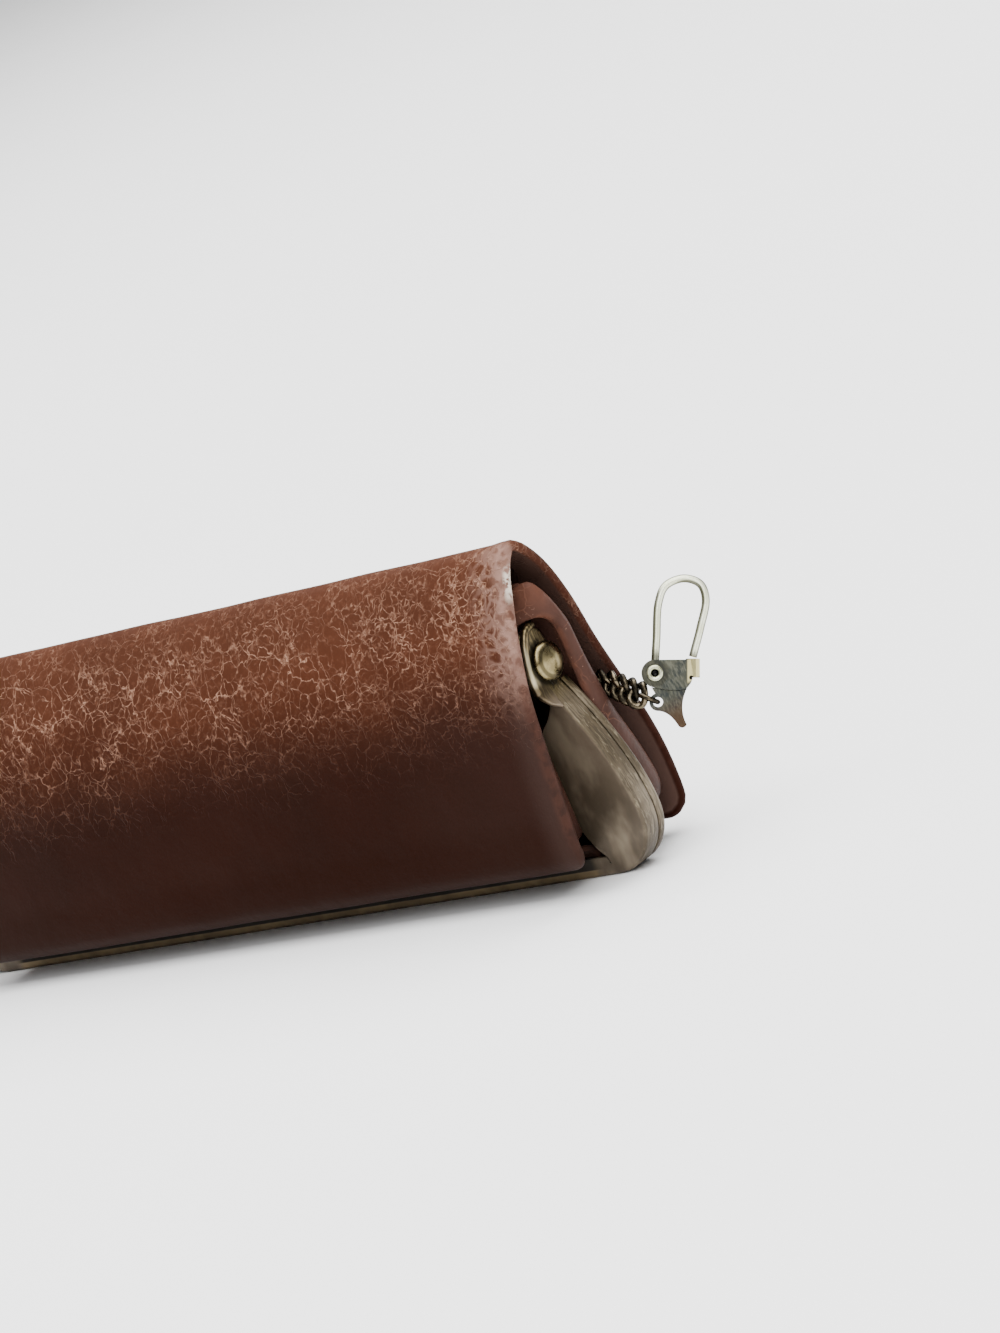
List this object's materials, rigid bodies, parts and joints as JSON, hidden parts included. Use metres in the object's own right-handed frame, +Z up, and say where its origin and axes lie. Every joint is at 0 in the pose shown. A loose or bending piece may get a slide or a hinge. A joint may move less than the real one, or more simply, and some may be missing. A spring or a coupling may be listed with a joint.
{
  "type": "wallet clutch",
  "caption": "Leather wallet clutch folded over a hinged metal frame pouch, with a spring clip on a short chain.",
  "frame": {"origin": "under the middle of the front frame bar, on the surface the wallet stands on", "axes": "+X along the wallet towards its chain end, +Y from its front to its back, +Z up to the fold"},
  "size_m": [0.229, 0.0416, 0.0705],
  "materials": {
    "cover_leather": "glazed, with pale crackle and worn edges",
    "pouch_leather": "smooth, satin",
    "frame_brass": "antique, scratched",
    "chain_brass": "dark antique",
    "clip_brass": "pale, polished"
  },
  "bodies": {
    "wallet": {"outer_cover": "cover_leather", "pouch": "pouch_leather", "gusset_right": "pouch_leather", "gusset_left": "pouch_leather", "frame_front": "frame_brass", "frame_back": "frame_brass", "hinge_rivet_right": "frame_brass", "hinge_rivet_left": "frame_brass", "frame_catch": "frame_brass", "chain": "chain_brass", "chain_anchor": "chain_brass", "clip_body": "chain_brass", "clip_eyelet": "clip_brass"},
    "loop": {"clip_loop": "clip_brass"}
  },
  "joints": [
    {"name": "loop_swing", "type": "hinge", "parent": "wallet", "child": "loop", "pos_m": [0.1117, 0.0118, 0.0352], "axis": [0.671, -0.6948, 0.2588], "range_deg": [0, 30], "stiffness_Nm_per_rad": 0.002, "springref_deg": -5.73}
  ]
}
